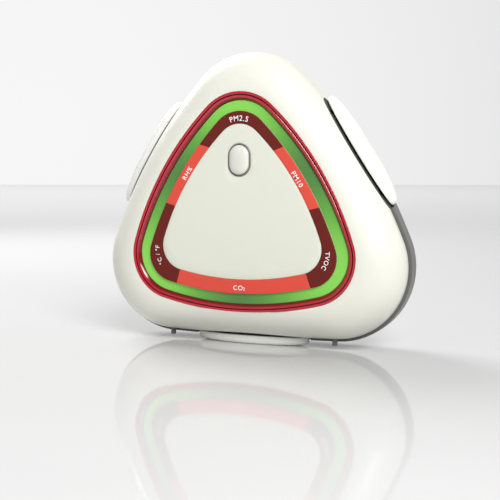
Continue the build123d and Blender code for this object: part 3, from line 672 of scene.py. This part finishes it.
class MONITOR_OT_light_ring(bpy.types.Operator):
    """Moulds the green light ring, a shallow channel with painted highlight at its corners and painted shade
    along its sides
    """
    bl_idname = "monitor.light_ring"
    bl_label = "Light Ring"

    def execute(self, context):
        profile = [(LIGHT, -0.05, 4.4), (LIGHT, -0.05, 1.36), (LIGHT, -0.15, 1.26)]
        for share, depth in ((0.2, 1.3), (0.35, 1.38), (0.5, 1.42), (0.65, 1.44), (0.8, 1.42), (0.92, 1.4)):
            profile.append((mix(LIGHT, BAND, share), 0.0, depth))
        profile += [(BAND, 0.05, 1.4), (BAND, 0.05, 4.4)]
        lamp = dial_loop("light_ring_moulding", profile)
        painted_corner_light = lamp.data.attributes.new("painted_corner_light", "FLOAT", "POINT")
        # painted highlight and shade: a share that is 1 at the three corners and 0 midway along the sides
        for vertex, value in zip(lamp.data.vertices, painted_corner_light.data):
            turn = math.atan2(vertex.co.z / MM - DIAL_Z - 2.0, vertex.co.x / MM)
            value.value = 0.5 + 0.5 * math.cos(3 * (turn - math.pi / 2))
        place_piece(lamp, finish("light"), "casing", "green_light", "light_ring")
        return {"FINISHED"}


def pill_ray(half_width, reach, dx, dz):
    """Where a ray from the middle of an upright slot crosses its edge."""
    if abs(dx) > 1e-9 and abs(dz) * half_width / abs(dx) <= reach:
        length = half_width / abs(dx)
    else:
        centre = math.copysign(reach, dz)
        length = dz * centre + math.sqrt((dz * centre) ** 2 - reach ** 2 + half_width ** 2)
    return dx * length, dz * length


class MONITOR_OT_front_panel(bpy.types.Operator):
    """Moulds the cream panel, with its hole for the mode button's bezel"""
    bl_idname = "monitor.front_panel"
    bl_label = "Front Panel"

    def execute(self, context):
        sizes = context.scene.monitor_sizes
        angles = columns((DIAL, PANEL), 1.0)
        face, back = 0.7, 4.4
        half_width = sizes.cap_width / 2 + 0.75
        reach = (sizes.cap_height - sizes.cap_width) / 2
        outer = [ring(BAND, back, 0.0, angles), ring(BAND, 1.2, 0.0, angles), ring(PANEL, 1.2, 0.0, angles)]
        outer += [ring(PANEL, face + 0.2, 0.0, angles), ring(PANEL, face + 0.06, -0.06, angles),
                  ring(PANEL, face, -0.2, angles)]
        centre = Vector((0, 0, DIAL_Z + sizes.cap_z))

        def hole(grown, depth):
            points = []
            for p in outer[-1]:
                away = Vector((p.x - centre.x, 0, p.z - centre.z)).normalized()
                x, z = pill_ray(half_width + grown, reach, away.x, away.z)
                points.append(Vector((x, DIAL_Y + depth, centre.z + z)))
            return points

        edge = [hole(0.2, face), hole(0.06, face + 0.06), hole(0.0, face + 0.2), hole(0.0, back)]
        between = []
        for i in range(1, 12):
            share = i / 12
            between.append([a.lerp(b, share) for a, b in zip(outer[-1], edge[0])])
        bm = bmesh.new()
        skin(bm, outer + between + edge, closed=True)
        panel = finished(bm, "front_panel_moulding", crease=50.0)
        place_piece(panel, finish("panel"), "casing", "cream_panel", "front_panel")
        return {"FINISHED"}


# Six lines cut the band of tiles, clockwise from the top right: a point (x, z) on each and its angle.
TILE_CUTS = ((17.0, 28.4, 20.5), (32.8, 4.3, 13.5), (30.6, -24.9, -70.5),
             (-28.6, -24.9, 254.0), (-32.4, 5.6, 163.0), (-15.7, 30.15, 162.7))
# Each tile runs anticlockwise from one cut to another.
TILES = {"pm25": (0, 5), "humidity": (5, 4), "temperature": (4, 3), "co2": (3, 2), "tvoc": (2, 1),
         "pm10": (1, 0)}
DARK_TILES = ("pm25", "temperature", "tvoc")


def cut_angle(cut_number, o, angles):
    """The normal angle at which an outline crosses one of the cut lines."""
    x, z, tilt = TILE_CUTS[cut_number]
    nx, nz = -math.sin(math.radians(tilt)), math.cos(math.radians(tilt))

    def off(angle):
        px, pz = spot(o, angle)
        return (px - x) * nx + (pz - z) * nz

    best = None
    for a, b in zip(angles, angles[1:] + [angles[0] + 2 * math.pi]):
        if off(a) * off(b) <= 0:
            px, pz = spot(o, a)
            distance = math.hypot(px - x, pz - z)
            if best is None or distance < best[0]:
                best = (distance, a, b)
    low, high = best[1], best[2]
    for _ in range(40):
        middle = (low + high) / 2
        if off(low) * off(middle) <= 0:
            high = middle
        else:
            low = middle
    return (low + high) / 2


class MONITOR_OT_label_tiles(bpy.types.Operator):
    """Cuts the six measurement tiles from the red band"""
    bl_idname = "monitor.label_tiles"
    bl_label = "Label Tiles"

    def execute(self, context):
        angles = columns((DIAL, PANEL), 1.0)
        face, thick, rows = 0.5, 0.7, 5
        for name, (first, last) in TILES.items():
            grid = []
            for row in range(rows + 1):
                share = row / rows
                o = mix(PANEL, BAND, 0.012 + 0.988 * share)
                start, end = cut_angle(first, o, angles), cut_angle(last, o, angles)
                if end < start:
                    end += 2 * math.pi
                count = 48
                line = []
                for i in range(count + 1):
                    x, z = spot(o, start + (end - start) * i / count)
                    line.append((x, z))
                grid.append(line)
            bm = bmesh.new()
            sheets = []
            for depth in (face, face + thick):
                sheets.append([[bm.verts.new(Vector((x, DIAL_Y + depth, DIAL_Z + z)) * MM) for x, z in line]
                               for line in grid])
            for sheet in sheets:
                for low, high in zip(sheet, sheet[1:]):
                    for i in range(len(low) - 1):
                        bm.faces.new((low[i], low[i + 1], high[i + 1], high[i]))
            top, bottom = sheets
            rims = [(top[0], bottom[0]), (top[-1], bottom[-1]), ([r[0] for r in top], [r[0] for r in bottom]),
                    ([r[-1] for r in top], [r[-1] for r in bottom])]
            for upper, lower in rims:
                for i in range(len(upper) - 1):
                    bm.faces.new((upper[i], upper[i + 1], lower[i + 1], lower[i]))
            tile = softened(finished(bm, "tile_" + name), 0.08)
            kind = "dark_tile" if name in DARK_TILES else "bright_tile"
            place_piece(tile, finish(kind), "casing", kind, "label_tile_" + name)
        return {"FINISHED"}


# What each tile measures: glyphs with their size, the middle of the word as (x, z), and its direction.
WORDS = {
    "pm25": ([("PM2.5", 1.08)], (0.0, 41.0), 1),
    "pm10": ([("PM10", 0.97)], (26.1, 16.3), 1),
    "tvoc": ([("TVOC", 0.92)], (38.2, -16.5), 1),
    "co2": ([("CO", 0.95), ("2", 0.62)], (0.0, -28.7), -1),
    "temperature": ([("°C / °F", 0.92)], (-38.6, -16.5), 1),
    "humidity": ([("RH%", 0.97)], (-24.2, 18.9), 1),
}


LETTER = 2.95            # size of a glyph at scale 1
LETTER_DROP = 0.4        # words sit this much inside the band's middle line
LETTER_GAP = 1.16
LETTER_WEIGHT = 0.004    # strokes are thickened by this share of their size
PRINT_FACE, PRINT_THICK = 0.46, 0.06
WORD_REACH = 160         # points of the band's middle line looked at on each side of a word


def glyph_mesh(text, size):
    """Flat glyphs as a mesh with its left end at the origin, and its width."""
    curve = bpy.data.curves.new("glyph", "FONT")
    curve.body = text
    curve.size = size
    curve.space_character = LETTER_GAP
    curve.offset = LETTER_WEIGHT * size
    curve.resolution_u = 4
    holder = bpy.data.objects.new("glyph", curve)
    bpy.context.scene.collection.objects.link(holder)
    bpy.context.view_layer.update()
    mesh = bpy.data.meshes.new_from_object(holder.evaluated_get(bpy.context.evaluated_depsgraph_get()))
    bpy.data.objects.remove(holder)
    xs = [v.co.x for v in mesh.vertices] or [0.0]
    return mesh, max(xs)


class MONITOR_OT_labels(bpy.types.Operator):
    """Prints the plain measurement symbols on the tiles, following the band's curve"""
    bl_idname = "monitor.labels"
    bl_label = "Printed Symbols"

    def execute(self, context):
        middle = mix(PANEL, BAND, 0.5)
        angles = columns((DIAL, PANEL), 0.25)
        path = [spot(middle, a) for a in angles]
        for name, (runs, (x, z), direction) in WORDS.items():
            bm = bmesh.new()
            offset = 0.0
            for text, scale in runs:
                mesh, width = glyph_mesh(text, LETTER * scale)
                mesh.transform(Matrix.Translation((offset, 0, 0)))
                bm.from_mesh(mesh)
                offset += width + 0.12
            length = offset
            start = min(range(len(path)), key=lambda i: math.hypot(path[i][0] - x, path[i][1] - z))
            # distances along the band, clockwise for most words and anticlockwise below
            ordered = [path[(start - direction * k) % len(path)] for k in range(-WORD_REACH, WORD_REACH + 1)]
            run = [0.0]
            for a, b in zip(ordered, ordered[1:]):
                run.append(run[-1] + math.hypot(b[0] - a[0], b[1] - a[1]))
            centre = run[WORD_REACH]
            for vertex in bm.verts:
                target = centre + vertex.co.x - length / 2
                rise = vertex.co.y - LETTER * 0.36 - LETTER_DROP
                i = max(k for k in range(len(run) - 1) if run[k] <= target)
                share = (target - run[i]) / (run[i + 1] - run[i])
                ax, az = ordered[i]
                bx, bz = ordered[i + 1]
                tx, tz = (bx - ax) / (run[i + 1] - run[i]), (bz - az) / (run[i + 1] - run[i])
                px, pz = ax + (bx - ax) * share, az + (bz - az) * share
                vertex.co = Vector((px - tz * rise, DIAL_Y + PRINT_FACE, DIAL_Z + pz + tx * rise)) * MM
            raised = bmesh.ops.extrude_face_region(bm, geom=bm.faces[:])
            moved = [g for g in raised["geom"] if isinstance(g, bmesh.types.BMVert)]
            bmesh.ops.translate(bm, verts=moved, vec=(0, PRINT_THICK * MM, 0))
            word = finished(bm, "print_" + name)
            place_piece(word, finish("ink"), "casing", "button_white")
        return {"FINISHED"}


class MONITOR_OT_button(bpy.types.Operator):
    """Moulds the domed mode button and the grey bezel round it"""
    bl_idname = "monitor.button"
    bl_label = "Mode Button"

    def execute(self, context):
        sizes = context.scene.monitor_sizes

        def row(width, height, depth):
            return [Vector((x, DIAL_Y + depth, DIAL_Z + z)) for x, z in pill(width, height, 0.0, sizes.cap_z)]

        gap, wall = 0.2, 0.55
        profile = [(gap, 2.2), (gap, 0.62), (gap + 0.08, 0.5), (gap + 0.27, 0.44), (gap + 0.45, 0.5),
                   (gap + wall, 0.62), (gap + wall, 2.2)]
        bm = bmesh.new()
        skin(bm, [row(sizes.cap_width + 2 * by, sizes.cap_height + 2 * by, depth) for by, depth in profile],
             closed=True)
        bezel = finished(bm, "bezel_moulding")
        place_piece(bezel, finish("bezel"), "casing", "bezel_grey", "button_bezel")

        half = sizes.cap_width / 2
        front, edge = -sizes.cap_proud, 0.55
        rows = [row(sizes.cap_width, sizes.cap_height, 2.2), row(sizes.cap_width, sizes.cap_height, edge)]
        for i in range(1, 15):
            share = i / 15
            inset = half * (1 - math.cos(share * math.pi / 2)) 
            rise = math.sin(share * math.pi / 2) ** 0.85
            rows.append(row(sizes.cap_width - 2 * inset, sizes.cap_height - 2 * inset,
                            edge + (front - edge) * rise))
        bm = bmesh.new()
        skin(bm, rows, cap_first=True, cap_last=True)
        cap = finished(bm, "button_cap")
        place_piece(cap, finish("cap"), "button", "button_white", "mode_button")
        return {"FINISHED"}


# ------------------------------------------------------------------ vents, base and small parts
COVER_SINK = 0.2         # a cover's flat side lies this far inside the casing's side


def dome(name, place, length, width, sink, rim, height, flat=0.0):
    """An oval cover: a short upright rim, a softened edge and a dome, closed underneath."""
    rings = [oval(place, length * 0.5 - 0.25, width * 0.5 - 0.25, -sink)]
    rings.append(oval(place, length * 0.5, width * 0.5, -sink + 0.25))
    rings.append(oval(place, length * 0.5, width * 0.5, -sink + rim))
    steps = 16
    for i in range(1, steps):
        size = 1 - (1 - flat) * (1 - math.cos(i / steps * math.pi / 2))
        rise = (1 - ((size - flat) / (1 - flat)) ** 2.4) ** 0.5
        plan = 1 - (1 - size) * 0.9
        lift = -sink + rim + (height - rim) * rise
        rings.append(oval(place, length * 0.5 * plan, width * 0.5 * size, lift))
    bm = bmesh.new()
    skin(bm, rings, cap_first=True, cap_last=True)
    return finished(bm, name)


class MONITOR_OT_vent_covers(bpy.types.Operator):
    """Moulds the domed covers over the side vents"""
    bl_idname = "monitor.vent_covers"
    bl_label = "Vent Covers"

    def execute(self, context):
        sizes = context.scene.monitor_sizes
        for vent in ("left", "right"):
            cover = dome("cover_" + vent, vent_frame(vent), sizes.cover_length, sizes.cover_width,
                         COVER_SINK, sizes.cover_rim, sizes.cover_height)
            place_piece(cover, finish("cover"), "casing", "cover_white", "vent_cover_" + vent)
        return {"FINISHED"}


class MONITOR_OT_base_cover(bpy.types.Operator):
    """Moulds the oval foot that the monitor stands on"""
    bl_idname = "monitor.base_cover"
    bl_label = "Base Cover"

    def execute(self, context):
        sizes = context.scene.monitor_sizes
        place = vent_frame("base")
        height = place.translation.z + COVER_SINK
        foot = dome("base_foot", place, sizes.cover_length, sizes.cover_width, COVER_SINK,
                    sizes.cover_rim, height, flat=0.7)
        place_piece(foot, finish("cover"), "casing", "cover_white", "base_cover")
        return {"FINISHED"}


def repeated(name, template, points, material):
    """Copies of a template at points, made with Geometry Nodes and turned into one plain mesh."""
    tree = bpy.data.node_groups.new(name + "_layout", "GeometryNodeTree")
    tree.interface.new_socket("Geometry", in_out="INPUT", socket_type="NodeSocketGeometry")
    pick = tree.interface.new_socket("Template", in_out="INPUT", socket_type="NodeSocketObject")
    paint = tree.interface.new_socket("Finish", in_out="INPUT", socket_type="NodeSocketMaterial")
    tree.interface.new_socket("Geometry", in_out="OUTPUT", socket_type="NodeSocketGeometry")
    entry = add(tree, "NodeGroupInput")
    part = add(tree, "GeometryNodeObjectInfo", {"Object": entry.outputs["Template"]})
    spread = add(tree, "GeometryNodeInstanceOnPoints", {"Points": entry.outputs["Geometry"],
                                                        "Instance": part.outputs["Geometry"]})
    solid = add(tree, "GeometryNodeRealizeInstances", {"Geometry": spread.outputs["Instances"]})
    painted = add(tree, "GeometryNodeSetMaterial", {"Geometry": solid.outputs["Geometry"],
                                                    "Material": entry.outputs["Finish"]})
    add(tree, "NodeGroupOutput", {"Geometry": painted.outputs["Geometry"]})
    mesh = bpy.data.meshes.new(name)
    mesh.from_pydata([Vector(p) * MM for p in points], [], [])
    piece = bpy.data.objects.new(name, mesh)
    bpy.context.scene.collection.objects.link(piece)
    modifier = piece.modifiers.new("layout", "NODES")
    modifier.node_group = tree
    modifier[pick.identifier] = template
    modifier[paint.identifier] = material
    bpy.context.view_layer.update()
    baked(piece)
    bpy.data.objects.remove(template)
    return piece


def turned_rings(profile, sides):
    """Rings of points round the Y axis for a turned part: profile is (radius, y)."""
    rings = []
    for radius, y in profile:
        rings.append([Vector((radius * math.cos(2 * math.pi * i / sides), y,
                              radius * math.sin(2 * math.pi * i / sides))) for i in range(sides)])
    return rings


class MONITOR_OT_shell_screws(bpy.types.Operator):
    """Makes the four hex-socket casing screws"""
    bl_idname = "monitor.shell_screws"
    bl_label = "Casing Screws"

    def execute(self, context):
        profile = [(1.25, -17.0), (1.25, -0.1), (2.5, 0.0), (2.5, 1.5), (2.42, 1.85), (2.2, 2.1), (1.9, 2.2),
                   (1.35, 2.2), (1.2, 2.1), (1.2, 1.0)]
        bm = bmesh.new()
        skin(bm, turned_rings(profile, 36), cap_first=True, cap_last=True)
        template = finished(bm, "screw")
        points = [(x, DIAL_Y + WELL_DEPTH, DIAL_Z + z) for x, z in screw_places()]
        screws = repeated("casing_screws", template, points, finish("steel"))
        place_piece(screws, finish("steel"), "casing", "screw_steel", "shell_screws")
        return {"FINISHED"}


class MONITOR_OT_foot_pegs(bpy.types.Operator):
    """Makes the two short pegs under the lower corners"""
    bl_idname = "monitor.foot_pegs"
    bl_label = "Foot Pegs"

    def execute(self, context):
        low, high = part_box("foot_pegs")
        radius = (high.y - low.y) / 2 / MM
        length = (high.z - low.z) / MM
        profile = [(radius, length), (radius, 0.35), (radius - 0.12, 0.12), (radius - 0.4, 0.0)]
        bm = bmesh.new()
        rings = [[Vector((p.x, p.z, p.y)) for p in points] for points in turned_rings(profile, 32)]
        skin(bm, rings, cap_first=True, cap_last=True)
        template = finished(bm, "peg")
        y = (high.y + low.y) / 2 / MM
        reach = high.x / MM - radius
        points = [(-reach, y, low.z / MM), (reach, y, low.z / MM)]
        pegs = repeated("foot_peg_pair", template, points, finish("peg"))
        place_piece(pegs, finish("peg"), "casing", "peg_grey", "foot_pegs")
        return {"FINISHED"}


class MONITOR_OT_inner_parts(bpy.types.Operator):
    """Gives every hidden part of the frame its own finish"""
    bl_idname = "monitor.inner_parts"
    bl_label = "Inner Parts"

    def execute(self, context):
        finishes = {
            "grille": ["vent_grille_left", "vent_grille_right", "vent_grille_base"],
            "foam": ["dust_filter_left", "dust_filter_right", "dust_filter_base"],
            "black": ["inner_frame", "battery_cradle", "buzzer", "humidity_sensor", "switch_plunger",
                      "fan_rotor"],
            "board": ["led_board", "main_board", "power_board"],
            "lens": ["ring_leds"],
            "ribbon": ["panel_ribbon"],
            "can": ["wireless_module", "tvoc_sensor", "button_switch", "usb_port"],
            "gold": ["co2_sensor", "laser_module"],
            "battery": ["battery"],
            "case": ["particle_case", "particle_lid"],
            "steel": ["fan_axle", "frame_screws", "board_screws"],
        }
        for name, nodes in finishes.items():
            for node in nodes:
                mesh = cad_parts[node].data
                mesh.materials.clear()
                mesh.materials.append(finish(name))
        return {"FINISHED"}


# ------------------------------------------------------------------ stage
CAMERA_TURN, CAMERA_RISE = math.radians(23.518), math.radians(4.229)
CAMERA_AWAY = 0.3734     # metres from the point that it looks at
CAMERA_AIM = Vector((5.21, DIAL_Y, DIAL_Z - 12.985)) * MM
FOCAL_LENGTH, SENSOR_WIDTH = 64.9008, 36.0


def soft_light(name, place, aim, size, power):
    """A square studio light aimed at a point."""
    lamp = bpy.data.lights.new(name, "AREA")
    lamp.shape = "SQUARE"
    lamp.size = size
    lamp.energy = power
    holder = bpy.data.objects.new(name, lamp)
    holder.location = place
    holder.rotation_euler = (Vector(aim) - Vector(place)).to_track_quat("-Z", "Y").to_euler()
    bpy.context.scene.collection.objects.link(holder)


def soft_room(even, above, right, left, front, behind):
    """A plain white room: an even level, and softly brighter walls on each side and overhead."""
    world = bpy.data.worlds.new("soft_room")
    world.use_nodes = True
    tree = world.node_tree
    way = add(tree, "ShaderNodeSeparateXYZ", {"Vector": add(tree, "ShaderNodeTexCoord").outputs["Generated"]})
    level = even
    for axis, sign, strength in (("Z", 1.0, above), ("X", 1.0, right), ("X", -1.0, left), ("Y", -1.0, front),
                                 ("Y", 1.0, behind)):
        facing = add(tree, "ShaderNodeMath", {0: way.outputs[axis], 1: sign}, operation="MULTIPLY")
        lit = add(tree, "ShaderNodeMath", {0: facing.outputs[0], 1: 0.0}, operation="MAXIMUM")
        level = add(tree, "ShaderNodeMath", {0: lit.outputs[0], 1: strength, 2: level},
                    operation="MULTIPLY_ADD").outputs[0]
    background = tree.nodes["Background"]
    background.inputs["Color"].default_value = (1, 1, 1, 1)
    tree.links.new(level, background.inputs["Strength"])
    return world


class MONITOR_OT_stage(bpy.types.Operator):
    """Sets the pale glossy floor, the soft lights and the camera"""
    bl_idname = "monitor.stage"
    bl_label = "Stage"

    def execute(self, context):
        bm = bmesh.new()
        reach = 40.0     # metres, so that the floor's end isn't in view
        corners = [bm.verts.new((x, y, 0.0)) for x, y in ((-reach, -reach), (reach, -reach),
                                                          (reach, reach), (-reach, reach))]
        bm.faces.new(corners)
        mesh = bpy.data.meshes.new("floor")
        bm.to_mesh(mesh)
        bm.free()
        floor = bpy.data.objects.new("floor", mesh)
        context.scene.collection.objects.link(floor)
        # painted light: the floor's colour is made paler towards its far end, to meet the backdrop
        material = moulded_plastic("white_acrylic_sheet", linear("C9C9C9"), 0.05, grain=0.0, drift=0.01,
                                   ior=1.33, specular=0.2, painted_light_ramp=(150.0, 1600.0, 1.35))
        mesh.materials.append(material)

        context.scene.world = soft_room(even=0.05, above=0.04, right=0.10, left=0.54, front=0.05, behind=0.69)

        centre = Vector((0, 0, DIAL_Z * MM))
        soft_light("key", centre + Vector((0.55, -0.60, 0.55)), centre, 0.5, 10.6)
        soft_light("rim", centre + Vector((-0.60, 0.35, 0.60)), centre, 0.5, 7.0)
        context.scene.view_settings.view_transform = "Standard"

        away = Vector((math.sin(CAMERA_TURN) * math.cos(CAMERA_RISE),
                       -math.cos(CAMERA_TURN) * math.cos(CAMERA_RISE), math.sin(CAMERA_RISE)))
        lens = bpy.data.cameras.new("camera")
        lens.sensor_width = SENSOR_WIDTH
        lens.lens = FOCAL_LENGTH
        lens.clip_start = 0.01
        camera = bpy.data.objects.new("camera", lens)
        camera.location = CAMERA_AIM + away * CAMERA_AWAY
        camera.rotation_euler = (-away).to_track_quat("-Z", "Y").to_euler()
        context.scene.collection.objects.link(camera)
        context.scene.camera = camera
        return {"FINISHED"}


# ------------------------------------------------------------------ panel and registration
PIECES = (
    MONITOR_OT_front_shell, MONITOR_OT_rear_shell, MONITOR_OT_trim_ring, MONITOR_OT_light_ring,
    MONITOR_OT_front_panel, MONITOR_OT_label_tiles, MONITOR_OT_labels, MONITOR_OT_button,
    MONITOR_OT_vent_covers, MONITOR_OT_base_cover, MONITOR_OT_shell_screws, MONITOR_OT_foot_pegs,
    MONITOR_OT_inner_parts, MONITOR_OT_stage,
)


class MONITOR_PT_sidebar(bpy.types.Panel):
    """Lists the monitor's pieces, sizes and colours"""
    bl_label = "Air Quality Monitor"
    bl_space_type = "VIEW_3D"
    bl_region_type = "UI"
    bl_category = "Monitor"

    def draw(self, context):
        for piece in PIECES:
            self.layout.operator(piece.bl_idname)
        for group in (context.scene.monitor_sizes, context.scene.monitor_colours):
            box = self.layout.box()
            for name in group.bl_rna.properties.keys():
                if name not in ("rna_type", "name"):
                    box.prop(group, name)


CLASSES = (MonitorSizes, MonitorColours, *PIECES, MONITOR_PT_sidebar)


def register():
    for cls in CLASSES:
        bpy.utils.register_class(cls)
    bpy.types.Scene.monitor_sizes = bpy.props.PointerProperty(type=MonitorSizes)
    bpy.types.Scene.monitor_colours = bpy.props.PointerProperty(type=MonitorColours)


def unregister():
    del bpy.types.Scene.monitor_colours
    del bpy.types.Scene.monitor_sizes
    for cls in reversed(CLASSES):
        bpy.utils.unregister_class(cls)


def main():
    register()
    bpy.ops.monitor.front_shell()
    bpy.ops.monitor.rear_shell()
    bpy.ops.monitor.trim_ring()
    bpy.ops.monitor.light_ring()
    bpy.ops.monitor.front_panel()
    bpy.ops.monitor.label_tiles()
    bpy.ops.monitor.labels()
    bpy.ops.monitor.button()
    bpy.ops.monitor.vent_covers()
    bpy.ops.monitor.base_cover()
    bpy.ops.monitor.shell_screws()
    bpy.ops.monitor.foot_pegs()
    bpy.ops.monitor.inner_parts()
    bpy.ops.monitor.stage()


if __name__ == "__main__":
    main()
